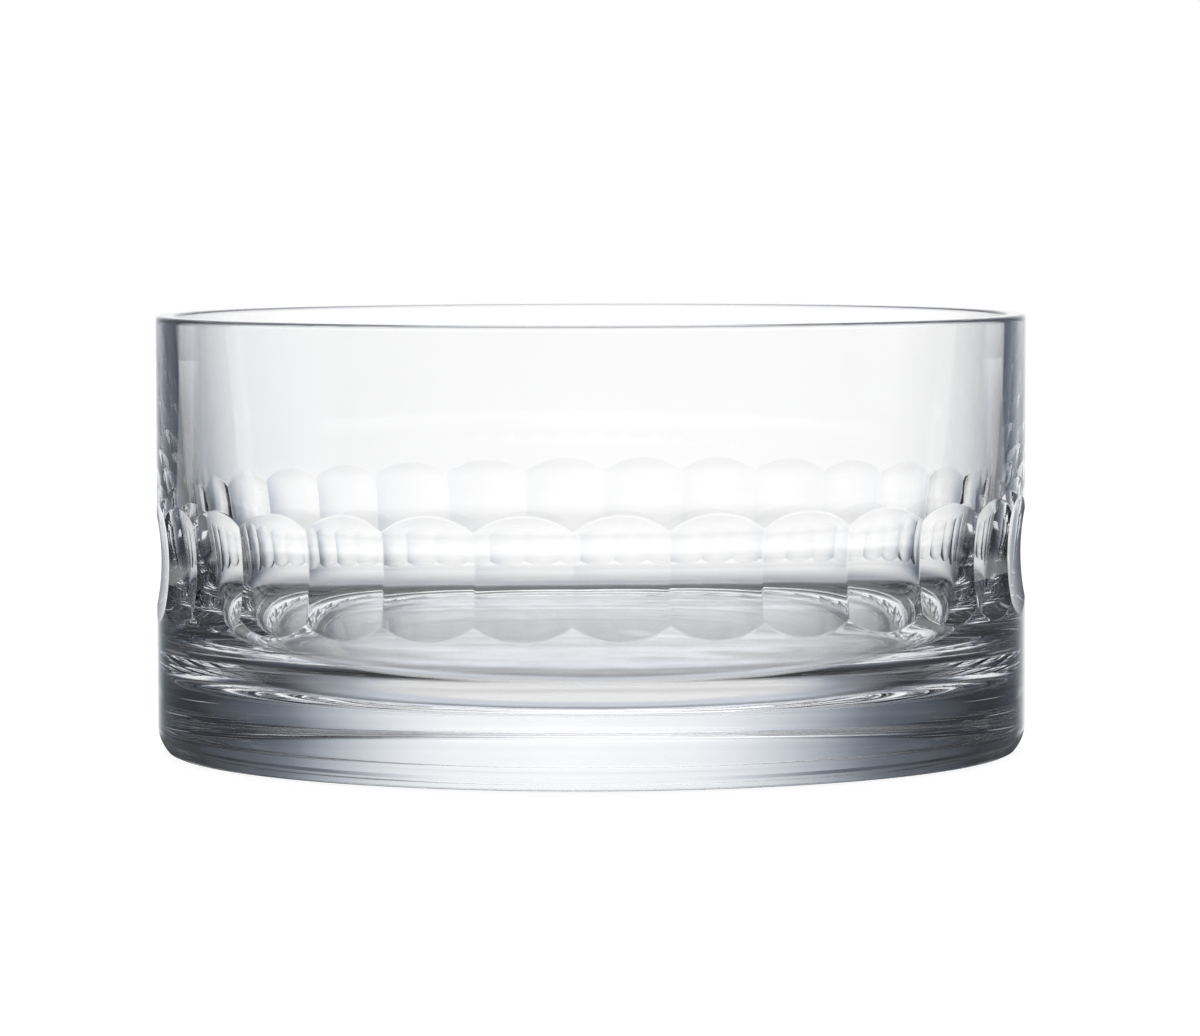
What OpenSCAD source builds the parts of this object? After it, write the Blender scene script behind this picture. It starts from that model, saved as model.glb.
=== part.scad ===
// Ice bowl of heavy clear glass: a straight drum with a thick floor and
// one band of upright hollow cuts, side by side round the lower wall.
// Millimetres. +Z is up and the origin is the middle of the resting face.

/* [Body] */
// Outside diameter of the straight wall
outside_diameter = 190; // [170:1:210]
// Height of the rim above the table
bowl_height = 95.1; // [86:0.1:106]
// Thickness of the wall at the rim
rim_wall = 4.1; // [3.5:0.1:5.5]
// Thickness of the solid floor
floor_thickness = 13.6; // [10:0.2:18]

/* [Inside] */
// Lean of the upper inside wall away from upright, in degrees
wall_lean = 2.75; // [2:0.25:3.5]
// Height above the table below which the inside wall bellies inwards
belly_start = 66; // [60:1:72]
// Radius of the belly, up and down the inside wall
belly_radius = 320; // [260:10:400]
// Rounding of the inside corner between belly and floor
inside_corner_radius = 20; // [14:0.5:24]

/* [Edges] */
// Rounding of the outside wall towards the foot
foot_radius = 9; // [7:0.5:12]
// Distance from the outside wall in to the edge of the ground resting face
foot_inset = 2.4; // [1.6:0.1:3.2]
// Rounding of the two edges of the rim
rim_edge_radius = 0.9; // [0.5:0.1:1.4]

/* [Cuts] */
// Number of cuts round the wall
cut_count = 30; // [26:1:34]
// Height of the middle of the band above the table
cut_middle_height = 42.4; // [38:0.2:46]
// Height of one cut from tip to tip
cut_height = 25.7; // [22:0.1:29]
// Depth of a cut at its middle
cut_depth = 1.7; // [1.4:0.05:2]
// Radius of the hollow across a cut
cut_hollow_radius = 200; // [150:5:260]

/* [Hidden] */
$fn = 96;
glass = [0.86, 0.92, 0.94, 0.45];

outside_radius = outside_diameter / 2;
rim_inside_radius = outside_radius - rim_wall;
// height at which the outside wall begins to round towards the foot
foot_height = sqrt(pow(foot_radius, 2) - pow(foot_radius - foot_inset, 2));
// inside radius where the belly begins, and the middle of the belly's arc
belly_inside_radius = rim_inside_radius - (bowl_height - belly_start) * tan(wall_lean);
belly_x = belly_inside_radius - belly_radius * cos(wall_lean);
belly_z = belly_start + belly_radius * sin(wall_lean);
// middle of the corner's arc, and the lean of the wall where the belly passes into it
corner_z = floor_thickness + inside_corner_radius;
corner_lean = asin((belly_z - corner_z) / (belly_radius - inside_corner_radius));
corner_x = belly_x + (belly_radius - inside_corner_radius) * cos(corner_lean);
// radius of the hollow up and down a cut
cut_upright_radius = (pow(cut_height / 2, 2) + pow(cut_depth, 2)) / (2 * cut_depth);
// angle of the hollow that one wheel sweeps, wide enough to leave the wall on both sides
cut_sweep = 14;
// how far the cuts and the cavity reach past the glass
overshoot = 1;
// how far an arc stands proud of the line it runs into, so that the two cross
touch = 0.002;

// What lies outside a quarter round about the origin, in the corner towards +X and +Y.
// With a lean, the side on +X tips towards +Y.
module corner_waste(radius, lean = 0) {
    reach = radius + overshoot;
    difference() {
        polygon([[0, 0], [reach * cos(lean), reach * sin(lean)], [reach, reach], [0, reach]]);
        circle(r = radius);
    }
}

// Half section of the hollow inside: a leaning wall, the belly, the round corner and the floor.
module cavity_section() {
    belly_reach = belly_radius + overshoot;
    belly_top = wall_lean - 1;
    polygon([
        [0, corner_z],
        [belly_inside_radius, belly_start],
        [rim_inside_radius + overshoot * tan(wall_lean), bowl_height + overshoot],
        [0, bowl_height + overshoot]
    ]);
    intersection() {
        translate([belly_x + touch, belly_z])
            circle(r = belly_radius, $fn = 720);
        polygon([
            [0, floor_thickness + overshoot],
            [corner_x, corner_z],
            [belly_x + belly_reach * cos(corner_lean), belly_z - belly_reach * sin(corner_lean)],
            [belly_x + belly_reach * cos(belly_top), belly_z - belly_reach * sin(belly_top)],
            [0, bowl_height]
        ]);
    }
    translate([corner_x + 2 * touch, corner_z])
        circle(r = inside_corner_radius);
    translate([0, floor_thickness])
        square([corner_x + 2 * touch, inside_corner_radius]);
}

// Half section of the glass before cutting.
module bowl_section() {
    rim_x = rim_inside_radius - rim_edge_radius * tan(wall_lean) + rim_edge_radius / cos(wall_lean);
    difference() {
        square([outside_radius, bowl_height]);
        cavity_section();
        translate([outside_radius - foot_radius, foot_height])
            mirror([0, 1])
                corner_waste(foot_radius);
        translate([outside_radius - rim_edge_radius, bowl_height - rim_edge_radius])
            corner_waste(rim_edge_radius);
        translate([rim_x - touch, bowl_height - rim_edge_radius])
            mirror([1, 0])
                corner_waste(rim_edge_radius, wall_lean);
    }
}

// The glass that one upright cut takes from the wall on +X: hollow both ways,
// as a crowned wheel grinds it.
module wheel_cut() {
    translate([outside_radius - cut_depth + cut_hollow_radius, 0, cut_middle_height])
        rotate([0, 0, 180 - cut_sweep / 2])
            rotate_extrude(angle = cut_sweep)
                intersection() {
                    translate([cut_hollow_radius - cut_upright_radius, 0])
                        circle(r = cut_upright_radius);
                    translate([cut_hollow_radius - cut_depth - overshoot, -cut_height])
                        square([cut_depth + 2 * overshoot, 2 * cut_height]);
                }
}

module bowl() {
    color(glass)
        difference() {
            rotate_extrude()
                bowl_section();
            for (i = [0:cut_count - 1])
                rotate([0, 0, i * 360 / cut_count])
                    wheel_cut();
        }
}

bowl();
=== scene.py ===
import math
import random

import bpy
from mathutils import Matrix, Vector, noise


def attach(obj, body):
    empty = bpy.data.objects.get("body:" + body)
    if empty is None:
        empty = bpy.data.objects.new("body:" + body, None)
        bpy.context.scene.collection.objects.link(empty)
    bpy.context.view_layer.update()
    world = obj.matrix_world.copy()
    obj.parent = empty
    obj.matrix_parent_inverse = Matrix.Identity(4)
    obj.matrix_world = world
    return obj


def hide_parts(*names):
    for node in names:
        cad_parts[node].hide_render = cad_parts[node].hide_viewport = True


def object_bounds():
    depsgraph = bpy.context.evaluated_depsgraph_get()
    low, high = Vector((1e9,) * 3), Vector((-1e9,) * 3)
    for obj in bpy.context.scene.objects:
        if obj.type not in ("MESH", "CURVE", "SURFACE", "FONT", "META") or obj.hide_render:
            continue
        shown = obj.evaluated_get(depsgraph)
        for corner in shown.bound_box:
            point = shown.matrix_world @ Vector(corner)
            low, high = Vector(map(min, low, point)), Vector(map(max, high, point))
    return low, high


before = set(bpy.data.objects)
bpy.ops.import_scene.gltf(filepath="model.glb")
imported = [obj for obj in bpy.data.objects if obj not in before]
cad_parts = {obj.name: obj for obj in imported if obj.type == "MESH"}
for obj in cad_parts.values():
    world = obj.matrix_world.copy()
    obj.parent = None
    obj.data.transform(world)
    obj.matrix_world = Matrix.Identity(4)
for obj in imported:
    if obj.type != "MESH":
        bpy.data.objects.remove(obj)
cad_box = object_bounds()


# The bowl.
# One body of heavy clear glass, blown in a mould with a thick floor, its rim ground flat and its foot rounded.
# A crowned wheel then grinds the band of upright hollows round the wall by eye, and they are polished.
outside = cad_box[1].x
height = cad_box[1].z
rim_wall = 0.0041
rim_round = 0.0009
wall_lean = math.radians(2.75)
wall_levels = (0.085, 0.075)
belly_start = 0.066
belly_round = 0.32
corner_round = 0.02
floor_level = 0.0136
floor_rings = 12
foot_round = 0.009
foot_inset = 0.0024
foot_height = math.sqrt(foot_round**2 - (foot_round - foot_inset) ** 2)
ground_edge = 0.0003

cut_count = 30
cut_middle = 0.0424
cut_height = 0.0257
cut_depth = 0.0017
cut_hollow = 0.2
cut_upright = ((cut_height / 2) ** 2 + cut_depth**2) / (2 * cut_depth)
cut_half_turn = math.pi / cut_count
cut_steps_up = 26
cut_steps_across = 16
wheel_centre = outside - cut_depth + cut_hollow

# polish rounds the edges of the cuts; hold is how far from an edge a point keeps the next face flat
polish = 0.00016
hold = 0.0006


def arc(centre, radius, start, end, steps):
    """Points on a round stretch of the half section."""
    angles = [start + (end - start) * step / steps for step in range(steps + 1)]
    return [(centre[0] + radius * math.cos(angle), centre[1] + radius * math.sin(angle)) for angle in angles]


def cut_radius(turn, rise):
    """Distance from the axis to the ground hollow, at a turn from the cut's middle and a height above it."""
    wheel = cut_hollow - cut_upright + math.sqrt(cut_upright**2 - rise**2)
    return wheel_centre * math.cos(turn) - math.sqrt(wheel**2 - (wheel_centre * math.sin(turn)) ** 2)


def cut_reach(turn):
    """Height above the cut's middle at which its hollow runs out on the wall."""
    wheel = math.sqrt(outside**2 + wheel_centre**2 - 2 * outside * wheel_centre * math.cos(turn))
    return math.sqrt(cut_upright**2 - (wheel - cut_hollow + cut_upright) ** 2)


def underside():
    """From the middle of the ground face out over its softened edge and up the rounded foot."""
    flat_end = outside - foot_inset - ground_edge
    points = [((flat_end - hold) * ring / floor_rings, 0) for ring in range(floor_rings + 1)]
    points.append((flat_end, 0))
    start = ground_edge / foot_round - math.acos(1 - foot_inset / foot_round)
    middle = (outside - foot_round, foot_height)
    points += arc(middle, foot_round, start, start + hold / foot_round, 1)
    return points + arc(middle, foot_round, start + 2 * hold / foot_round, 0, 12)


def outside_wall(turn, on_ridge):
    """Up the outside, through the hollow of the cut, to the rim."""
    reach = cut_reach(turn)
    low, high = cut_middle - reach, cut_middle + reach
    points = [(outside, foot_height + hold)]
    points += [(outside, foot_height + share * (low - foot_height)) for share in (0.35, 0.7, 0.9)]
    softening = 0.25 * (outside - cut_radius(turn, reach - polish))
    ridge_wear = 0.00001 if on_ridge else 0
    points += [(outside, low - polish - hold / 2), (outside, low - polish), (outside - softening, low)]
    for step in range(cut_steps_up + 1):
        rise = (reach - polish) * math.sin(math.pi * (step / cut_steps_up - 0.5))
        points.append((cut_radius(turn, rise) - ridge_wear, cut_middle + rise))
    points += [(outside - softening, high), (outside, high + polish), (outside, high + polish + hold / 2)]
    points += [(outside, high + share * (height - high)) for share in (0.1, 0.35, 0.7)]
    return points + [(outside, height - rim_round - hold)]


def rim_and_inside():
    """Over the flat rim and down the inside: leaning wall, slight belly, round corner and floor."""
    rim_inside = outside - rim_wall
    rim_out = (outside - rim_round, height - rim_round)
    rim_in = (rim_inside + rim_round * (1 / math.cos(wall_lean) - math.tan(wall_lean)), height - rim_round)
    points = arc(rim_out, rim_round, 0, math.pi / 2, 6)
    points += [(rim_out[0] - hold / 2, height), (rim_in[0] + hold / 2, height)]
    points += arc(rim_in, rim_round, math.pi / 2, math.pi - wall_lean, 6)
    for level in (height - rim_round - hold, *wall_levels, belly_start + hold):
        points.append((rim_inside - (height - level) * math.tan(wall_lean), level))
    belly_x = rim_inside - (height - belly_start) * math.tan(wall_lean)
    belly = (belly_x - belly_round * math.cos(wall_lean), belly_start + belly_round * math.sin(wall_lean))
    passing = math.asin((belly[1] - floor_level - corner_round) / (belly_round - corner_round))
    corner = (belly[0] + (belly_round - corner_round) * math.cos(passing), floor_level + corner_round)
    points += arc(belly, belly_round, -wall_lean, -passing, 14)
    points += arc(corner, corner_round, -passing, -math.pi / 2, 26)[1:]
    floor_edge = corner[0] - hold
    return points + [(floor_edge * ring / floor_rings, floor_level) for ring in range(floor_rings, -1, -1)]


# one cut's slice of the bowl, from ridge to ridge, as a grid bent into shape and then copied all round
ridge_half_width = polish / outside
turns = [-cut_half_turn, -cut_half_turn + ridge_half_width, -cut_half_turn + 3 * ridge_half_width]
span = cut_half_turn - 3 * ridge_half_width
turns += [span * (2 * step / cut_steps_across - 1) for step in range(1, cut_steps_across)]
turns += [-turn for turn in reversed(turns[:3])]
sections = []
for turn in turns:
    sections.append(underside() + outside_wall(turn, abs(turn) == cut_half_turn) + rim_and_inside())

bpy.ops.object.select_all(action="DESELECT")
columns = len(turns) - 1
rows = len(sections[0]) - 1
bpy.ops.mesh.primitive_grid_add(x_subdivisions=columns, y_subdivisions=rows, size=1)
bowl = bpy.context.object
bowl.name = "cut_glass_bowl"
for vertex in bowl.data.vertices:
    column = round((vertex.co.x + 0.5) * columns)
    row = round((vertex.co.y + 0.5) * rows)
    radius, level = sections[column][row]
    vertex.co = (radius * math.cos(turns[column]), radius * math.sin(turns[column]), level)
copies = cut_count - 1
bpy.ops.object.mode_set(mode="EDIT")
bpy.ops.mesh.select_all(action="SELECT")
bpy.ops.mesh.spin(
    steps=copies, dupli=True, angle=2 * math.pi * copies / cut_count, center=(0, 0, 0), axis=(0, 0, 1)
)
bpy.ops.mesh.select_all(action="SELECT")
bpy.ops.mesh.remove_doubles(threshold=0.000004)
bpy.ops.mesh.normals_make_consistent(inside=False)
bpy.ops.object.mode_set(mode="OBJECT")
bpy.ops.object.shade_smooth()

# the cuts are spaced by eye and the band runs a little downhill; floor and ground face wave very slightly
camera_bearing = math.radians(1.95)
near = camera_bearing - math.pi / 2
spacing_drift = 0.0189
spacing_lean = -0.0051
spacing_phase = math.radians(0.057)
spacing_scatter = math.radians(0.45)
band_tilt_near = 0.001
band_tilt_right = 0.0009
band_half = cut_height * 0.6
floor_wave = 0.00006
floor_reach = outside - 0.012
underside_wave = 0.00004
underside_reach = outside * 0.93
wave_pitch = 0.014
skin = outside - cut_depth - 0.0005
hand = random.Random(52187)
slips = [hand.uniform(-spacing_scatter, spacing_scatter) for cut in range(cut_count)]
for vertex in bowl.data.vertices:
    x, y, level = vertex.co
    radius = math.hypot(x, y)
    sway = noise.noise(Vector((x, y, level * 3)) / wave_pitch)
    if level == 0:
        vertex.co.z = underside_wave * (1 + sway) * max(0, 1 - (radius / underside_reach) ** 6)
    elif radius < floor_reach and level < floor_level + corner_round:
        vertex.co.z = level + floor_wave * sway
    if radius < skin or level < foot_height or level > height - rim_round:
        continue
    over = max(0, abs(level - cut_middle) - band_half)
    room = height - rim_round - cut_middle if level > cut_middle else cut_middle - foot_height
    share = max(0, 1 - over / (room - band_half))
    angle = math.atan2(y, x)
    place = (angle / (2 * cut_half_turn) + 0.5) % cut_count
    first = int(place) % cut_count
    slip = slips[first] + (slips[(first + 1) % cut_count] - slips[first]) * (place - int(place))
    drift = spacing_drift * math.sin(angle - near) + spacing_lean * math.cos(angle - near)
    turned = angle + share * (slip + spacing_phase + drift)
    drop = share * (band_tilt_near * math.cos(angle - near) + band_tilt_right * math.cos(angle))
    vertex.co = (radius * math.cos(turned), radius * math.sin(turned), level + drop)


class Wire:
    """An output of a shader node. Arithmetic on it adds Math nodes, and make adds any other node."""

    def __init__(self, tree, output):
        self.tree, self.output = tree, output

    @staticmethod
    def make(tree, kind, settings=None, sockets=None):
        """Adds one node: its settings first, then its sockets' values or links. Returns its outputs by name."""
        node = tree.nodes.new(kind)
        for name, value in (settings or {}).items():
            if name == "stops":
                elements = node.color_ramp.elements
                while len(elements) < len(value):
                    elements.new(1)
                for element, (position, colour) in zip(elements, value):
                    element.position = position
                    element.color = (*colour, 1)
            else:
                setattr(node, name, value)
        for name, value in (sockets or {}).items():
            if isinstance(name, int):
                socket = node.inputs[name]
            else:
                socket = next(s for s in node.inputs if s.enabled and s.name == name)
            if isinstance(value, Wire):
                tree.links.new(value.output, socket)
            else:
                socket.default_value = value
        return {output.name: Wire(tree, output) for output in node.outputs if output.enabled}

    def maths(self, operation, *values):
        """One Math node with these values."""
        sockets = dict(enumerate(values))
        return Wire.make(self.tree, "ShaderNodeMath", {"operation": operation}, sockets)["Value"]

    def __add__(self, other):
        return self.maths("ADD", self, other)

    def __radd__(self, other):
        return self.maths("ADD", other, self)

    def __sub__(self, other):
        return self.maths("SUBTRACT", self, other)

    def __rsub__(self, other):
        return self.maths("SUBTRACT", other, self)

    def __mul__(self, other):
        return self.maths("MULTIPLY", self, other)

    def __rmul__(self, other):
        return self.maths("MULTIPLY", other, self)

    def __truediv__(self, other):
        return self.maths("DIVIDE", self, other)

    def __rtruediv__(self, other):
        return self.maths("DIVIDE", other, self)

    def __abs__(self):
        return self.maths("ABSOLUTE", self)

    def maximum(self, other):
        return self.maths("MAXIMUM", self, other)

    def between(self, low, high):
        """0 below low, 1 above high and a soft step from one to the other."""
        settings = {"interpolation_type": "SMOOTHSTEP"}
        sockets = {"Value": self, "From Min": low, "From Max": high}
        return Wire.make(self.tree, "ShaderNodeMapRange", settings, sockets)["Result"]


def new_material(name):
    """A material with an empty node tree."""
    material = bpy.data.materials.new(name)
    material.use_nodes = True
    material.node_tree.nodes.clear()
    return material, material.node_tree


# clear glass with faint level streaks from blowing; only the narrow edge of the ground face is satin, and there
# painted shade greys it into a dark line
satin_dark_edge_top = 0.00035
satin_dark_edge_start = outside - 0.0045
satin_dark_edge_full = outside - 0.0035
glass, tree = new_material("clear_crystal")
place = Wire.make(tree, "ShaderNodeTexCoord")["Object"]
sockets = {"Vector": place, "Scale": (9, 9, 420)}
drawn = Wire.make(tree, "ShaderNodeMapping", {}, sockets)["Vector"]
cords = Wire.make(tree, "ShaderNodeTexNoise", {}, {"Vector": drawn, "Scale": 1, "Detail": 2})["Fac"]
sockets = {"Strength": 0.02, "Distance": 0.0001, "Height": cords}
ripple = Wire.make(tree, "ShaderNodeBump", {}, sockets)["Normal"]
axes = Wire.make(tree, "ShaderNodeSeparateXYZ", {}, {"Vector": place})
reach = Wire.make(tree, "ShaderNodeVectorMath", {"operation": "LENGTH"}, {"Vector": place})["Value"]
# the satin roughness is the ground face's own; its grey colour is painted shade, a dark line along the bottom
# of the foot
satin_and_painted_dark_edge = (1 - axes["Z"].between(satin_dark_edge_top - 0.0002, satin_dark_edge_top)) * reach.between(satin_dark_edge_start, satin_dark_edge_full)
sockets = {"Base Color": 1 - 0.65 * satin_and_painted_dark_edge, "Roughness": 0.25 * satin_and_painted_dark_edge, "IOR": 1.53, "Transmission Weight": 1}
sockets["Normal"] = ripple
surface = Wire.make(tree, "ShaderNodeBsdfPrincipled", {}, sockets)["BSDF"]
absorption = {"Color": (0.892, 0.9, 0.911, 1), "Density": 6}
body_colour = Wire.make(tree, "ShaderNodeVolumeAbsorption", {}, absorption)["Volume"]
Wire.make(tree, "ShaderNodeOutputMaterial", {}, {"Surface": surface, "Volume": body_colour})
bowl.data.materials.append(glass)
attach(bowl, "root")
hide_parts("bowl")


# The studio.
# A wide white panel behind the bowl and another overhead, with dark cloths at both sides and narrow pale
# cards in front of them. The dark sides draw the grey edges of the glass.
panel_turn = math.radians(2.2)
panel_white = 1.15
overhead_white = (0.8, 0.805, 0.815, 1)
low_light = (0.2, 0.212, 0.25)
card_white = 0.35
# degrees round from the panel's middle, and the light there
panel_fall = [
    (0, (1, 1, 1)),
    (2, (0.995, 0.995, 0.995)),
    (4, (0.98, 0.98, 0.981)),
    (10.4, (0.916, 0.924, 0.934)),
    (13, (0.855, 0.872, 0.897)),
    (15, (0.792, 0.812, 0.84)),
    (18.4, (0.652, 0.683, 0.727)),
    (26.2, (0.31, 0.338, 0.383)),
    (29, (0.20, 0.222, 0.257)),
    (32.2, (0.14, 0.156, 0.19)),
    (35.3, (0.1125, 0.125, 0.153)),
    (43, (0.0765, 0.085, 0.105)),
    (48, (0.058, 0.063, 0.076)),
    (53, (0.031, 0.034, 0.04)),
    (72, (0.031, 0.034, 0.039)),
    (110, (0.033, 0.034, 0.038)),
    (180, (0.045, 0.046, 0.05)),
]
world = bpy.data.worlds.new("studio")
bpy.context.scene.world = world
world.use_nodes = True
tree = world.node_tree
tree.nodes.clear()
towards = Wire.make(tree, "ShaderNodeTexCoord")["Generated"]
sockets = {"Vector": towards, "Angle": panel_turn - camera_bearing}
towards = Wire.make(tree, "ShaderNodeVectorRotate", {"rotation_type": "Z_AXIS"}, sockets)["Vector"]
axes = Wire.make(tree, "ShaderNodeSeparateXYZ", {}, {"Vector": towards})
to_degrees = 180 / math.pi
degrees_off = abs(axes["X"].maths("ARCTAN2", axes["X"], axes["Y"])) * to_degrees
lift = axes["Z"].maths("ARCSINE", axes["Z"]) * to_degrees
drop = 0 - lift

# the panel looks narrower below the level of the table and wider above
spread = 1 + 0.28 * drop.between(0, 10) * degrees_off.between(5, 18) - 0.22 * lift.between(10, 35)
lowered = 5 * drop.between(10, 17) * degrees_off.between(2, 8)
stops = [(degrees / 180, colour) for degrees, colour in panel_fall]
sockets = {"Fac": (degrees_off * spread + lowered) / 180}
panel = Wire.make(tree, "ShaderNodeValToRGB", {"stops": stops}, sockets)["Color"]

# a faint line at eye level, a darker one where panel and table meet, then a bluish fall into the table's mirror
edge_line = lift.between(-2.5, 0.5) * (1 - lift.between(1.5, 3.5))
horizon = drop.between(9, 14) * (1 - 0.4 * drop.between(16.5, 19.5))
fall = 1 - 0.06 * edge_line - 0.16 * horizon - 0.6 * drop.between(14, 48)
dusk = drop.between(14, 40)
sockets = {"X": fall - 0.03 * dusk, "Y": fall - 0.022 * dusk, "Z": fall + 0.01 * dusk}
toned = Wire.make(tree, "ShaderNodeCombineXYZ", {}, sockets)["Vector"]
sockets = {0: panel, 1: toned}
panel = Wire.make(tree, "ShaderNodeVectorMath", {"operation": "MULTIPLY"}, sockets)["Vector"]

# the upright cards at the sides, the panel overhead and the light that comes up from the table
card = degrees_off.between(74, 80) * (1 - degrees_off.between(90, 100))
card = card * lift.between(-6, -1) * (1 - lift.between(7, 12)) * card_white
sockets = {0: panel, 1: card}
panel = Wire.make(tree, "ShaderNodeVectorMath", {"operation": "ADD"}, sockets)["Vector"]
sockets = {"Factor": lift.between(32, 66), "A": panel, "B": overhead_white}
panel = Wire.make(tree, "ShaderNodeMix", {"data_type": "RGBA"}, sockets)["Result"]
from_below = drop.between(30, 46) * (1 - 0.8 * degrees_off.between(35, 70))
sockets = {"Vector": low_light, "Scale": from_below}
floor_light = Wire.make(tree, "ShaderNodeVectorMath", {"operation": "SCALE"}, sockets)["Vector"]
sockets = {0: panel, 1: floor_light}
panel = Wire.make(tree, "ShaderNodeVectorMath", {"operation": "MAXIMUM"}, sockets)["Vector"]

# seen straight, the background is plain white
path = Wire.make(tree, "ShaderNodeLightPath")
sockets = {"Factor": path["Is Camera Ray"], "A": panel, "B": (1 / panel_white,) * 3 + (1,)}
seen = Wire.make(tree, "ShaderNodeMix", {"data_type": "RGBA"}, sockets)["Result"]
glow = Wire.make(tree, "ShaderNodeBackground", {}, {"Color": seen, "Strength": panel_white})["Background"]
Wire.make(tree, "ShaderNodeOutputWorld", {}, {"Surface": glow})


# The table.
# A pale polished board under the bowl. Through the glass it mirrors the studio, and under the bowl its glow is
# painted with the light and shade that the bowl itself throws.
table_radius = 2.6
table_gap = 0.0002
table_glow = 0.93
table_white = 0.2
bpy.ops.object.select_all(action="DESELECT")
bpy.ops.mesh.primitive_circle_add(
    vertices=128, radius=table_radius, fill_type="NGON", location=(0, 0, -table_gap)
)
table = bpy.context.object
table.name = "pale_table"
pale, tree = new_material("polished_pale_table")
path = Wire.make(tree, "ShaderNodeLightPath")
by_camera = path["Is Camera Ray"].maximum(path["Is Diffuse Ray"])
place = Wire.make(tree, "ShaderNodeNewGeometry")["Position"]
reach = Wire.make(tree, "ShaderNodeVectorMath", {"operation": "LENGTH"}, {"Vector": place})["Value"]
axes = Wire.make(tree, "ShaderNodeSeparateXYZ", {}, {"Vector": place})
off_middle = abs(axes["X"])
facing = Wire.make(tree, "ShaderNodeLayerWeight", {}, {"Blend": 0.5})["Facing"]
steep = 1 - facing


def looks_down(low, high):
    """0 where the table is met at a flatter angle than low degrees, 1 where it is steeper than high."""
    return steep.between(math.sin(math.radians(low)), math.sin(math.radians(high)))


# the open table: a mirror at flat angles, with two pale cards lying on it and dim close beside the bowl
low_look = 1 - looks_down(48, 58)
lowest_look = 1 - looks_down(10, 13)
behind = axes["Y"].between(0, 0.08)
close_by = 1 - reach.between(0.17, 0.24)
aside = abs(axes["X"].maths("ARCTAN2", axes["X"], axes["Y"]) + camera_bearing) * to_degrees
lying_card = aside.between(43, 45) * (1 - aside.between(53, 58)) * reach.between(0.5, 0.75)
open_mirror = (low_look * close_by.maximum(behind)).maximum(lowest_look)
open_mirror = open_mirror * (1 - 0.72 * lying_card)
open_glow = table_glow + (1 - table_glow) * reach.between(0.25, 0.6)
beside = off_middle.between(0.06, 0.1) * (1 - reach.between(0.16, 0.3))
shaded = open_glow * (1 - 0.7 * beside)

# the patch under the ground face, and the dark ring where the foot keeps the light off
shadow_glow = 0.04
past_patch = reach.between(outside - 0.009, outside - 0.005)
covered = 1 - past_patch
foot_shadow = past_patch * (1 - reach.between(outside + 0.004, outside + 0.016))
under_mirror = 0.04 + 0.3 * (1 - looks_down(8, 32))

# the panel's light, thrown through the wall, leaves the far side of the patch dim and streaked
watershed = 0.003 - 0.035 * looks_down(12.7, 18.7)
nearer = (watershed - axes["Y"]).between(-0.008, 0.008) * (1 - looks_down(21.1, 24.8))
flat_look = 1 - looks_down(17.5, 23.6)
far_side = axes["Y"].between(0.01, 0.04) * flat_look
under_glow = 0.27 + 0.49 * nearer + 0.3 * far_side + 0.44 * looks_down(28, 42) + 0.06 * looks_down(50.4, 70)
# painted light: a brighter lane down the middle of the patch, dimmer towards its sides
sides = off_middle.between(0.035, 0.07) * (1 - looks_down(45, 62))
under_glow = under_glow * (1 - 0.75 * sides) * (1 - 0.6 * off_middle.between(0.06, 0.08))
# painted light: soft blotches gathered in the patch's glow
sockets = {"Vector": place, "Scale": 110, "Detail": 3}
gathered = Wire.make(tree, "ShaderNodeTexNoise", {}, sockets)["Fac"].between(0.36, 0.64)
gathered = (gathered - 0.5) * (1 - looks_down(30, 41.3))
sockets = {0: place, 1: (0, -0.09, 0)}
swing = Wire.make(tree, "ShaderNodeVectorMath", {"operation": "DISTANCE"}, sockets)["Value"]
sockets = {"X": axes["X"] * 14, "Y": swing * 200}
streaked = Wire.make(tree, "ShaderNodeCombineXYZ", {}, sockets)["Vector"]
sockets = {"Vector": streaked, "Scale": 1, "Detail": 1}
streaks = Wire.make(tree, "ShaderNodeTexNoise", {}, sockets)["Fac"].between(0.38, 0.62)
streaks = (streaks - 0.5) * axes["Y"].between(-0.01, 0.02) * flat_look
under_glow = under_glow * (1 + 0.2 * gathered) * (1 + 1.1 * streaks)

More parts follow.
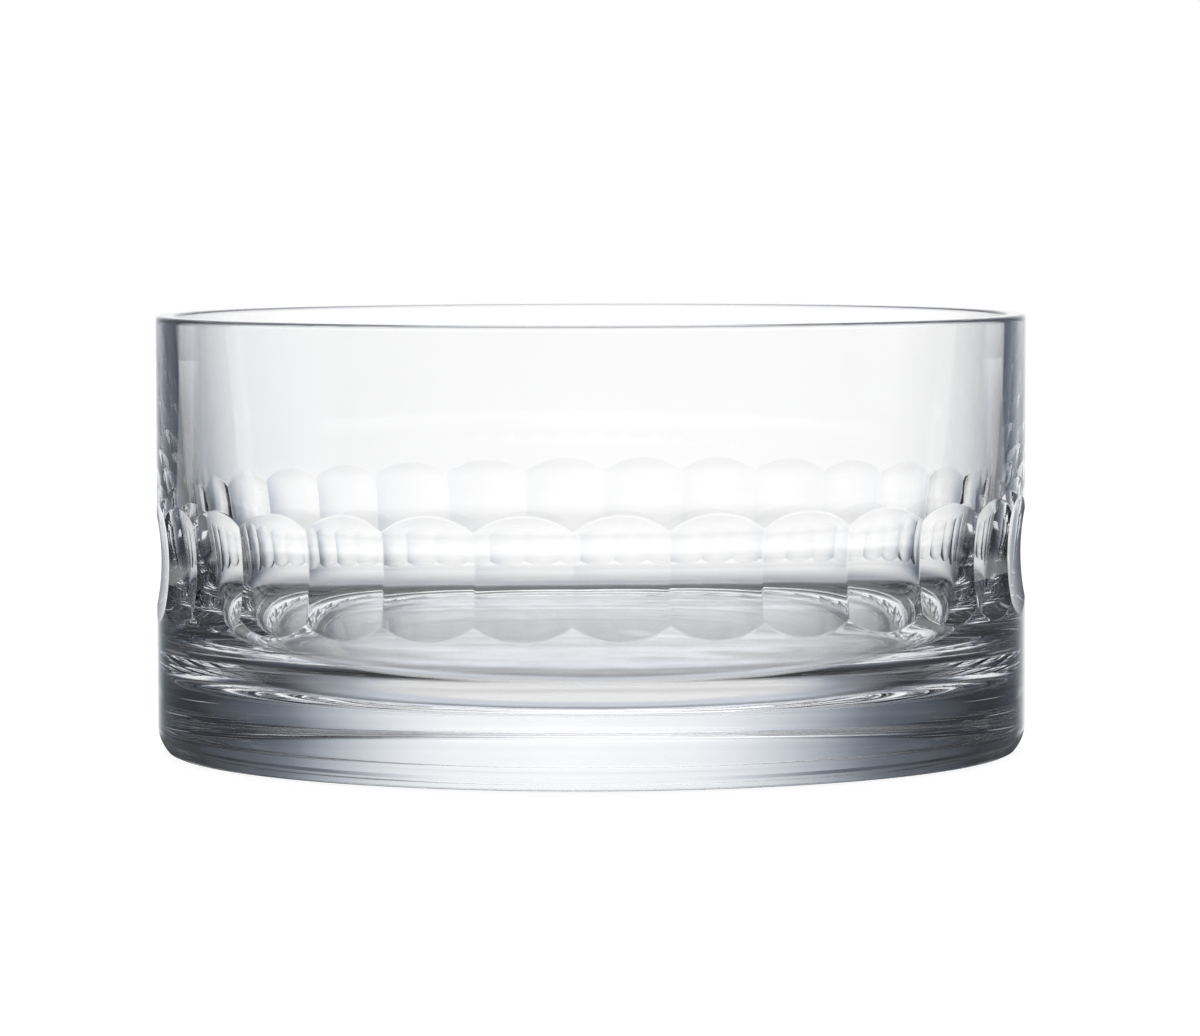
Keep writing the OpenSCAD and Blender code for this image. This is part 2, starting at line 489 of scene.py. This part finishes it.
# the camera itself sees a plain white table with the bowl's soft shadow
polished = (open_mirror + (under_mirror - open_mirror) * covered) * (1 - foot_shadow) * (1 - by_camera)
hidden = shaded + (under_glow - shaded) * covered
hidden = hidden + (shadow_glow - hidden) * foot_shadow
strength = open_glow + (hidden - open_glow) * (1 - by_camera)
# the painted light and shadow under the bowl are tinted blue
cool = covered.maximum(foot_shadow) * (1 - by_camera) * low_look
sockets = {"Factor": cool, "A": (1, 1, 1, 1), "B": (0.84, 0.89, 1, 1)}
tone = Wire.make(tree, "ShaderNodeMix", {"data_type": "RGBA"}, sockets)["Result"]
white = Wire.make(tree, "ShaderNodeEmission", {}, {"Color": tone, "Strength": strength})["Emission"]
sockets = {"Color": (table_white, table_white, table_white, 1)}
matt = Wire.make(tree, "ShaderNodeBsdfDiffuse", {}, sockets)["BSDF"]
lit = Wire.make(tree, "ShaderNodeAddShader", {}, {0: white, 1: matt})["Shader"]
clear = Wire.make(tree, "ShaderNodeBsdfTransparent")["BSDF"]
mirror = Wire.make(tree, "ShaderNodeBsdfGlossy", {}, {"Color": (1, 1, 1, 1), "Roughness": 0})["BSDF"]
onward = Wire.make(tree, "ShaderNodeMixShader", {}, {0: covered, 1: clear, 2: mirror})["Shader"]
whole = Wire.make(tree, "ShaderNodeMixShader", {}, {0: polished, 1: lit, 2: onward})["Shader"]
Wire.make(tree, "ShaderNodeOutputMaterial", {}, {"Surface": whole})
table.data.materials.append(pale)

lamp_data = bpy.data.lights.new("overhead", "AREA")
lamp_data.shape = "DISK"
lamp_data.size = 1.4
lamp_data.energy = 5
lamp = bpy.data.objects.new("overhead", lamp_data)
lamp.location = (0, 0.2, 1.6)
bpy.context.scene.collection.objects.link(lamp)


# The camera.
# A long lens a little above the rim, level with the photograph's view. The pixel values are the width of the
# photograph, half the width of the bowl in it and how far the bowl stands from the middle.
photo_pixels = 1200
half_bowl_pixels = 435.3
aside_pixels = 9.7
radii_away = 13.5
radii_up = 1.3495
pitch = math.radians(3.477)
roll = math.radians(0.13)
distance = radii_away * outside
focal_pixels = half_bowl_pixels * math.sqrt(radii_away**2 - 1)
yaw = math.atan(aside_pixels / focal_pixels)
camera_data = bpy.data.cameras.new("camera")
camera_data.sensor_width = 36
camera_data.lens = camera_data.sensor_width * focal_pixels / photo_pixels
camera = bpy.data.objects.new("camera", camera_data)
bpy.context.scene.collection.objects.link(camera)
camera.location = distance * math.sin(camera_bearing), -distance * math.cos(camera_bearing), radii_up * outside
camera.rotation_euler = math.pi / 2 - pitch, roll, camera_bearing - yaw

# thick glass needs many bounces
scene = bpy.context.scene
scene.camera = camera
scene.view_settings.view_transform = "Standard"
scene.cycles.max_bounces = 40
scene.cycles.transmission_bounces = 40
scene.cycles.glossy_bounces = 40
scene.cycles.caustics_refractive = False
scene.cycles.caustics_reflective = False
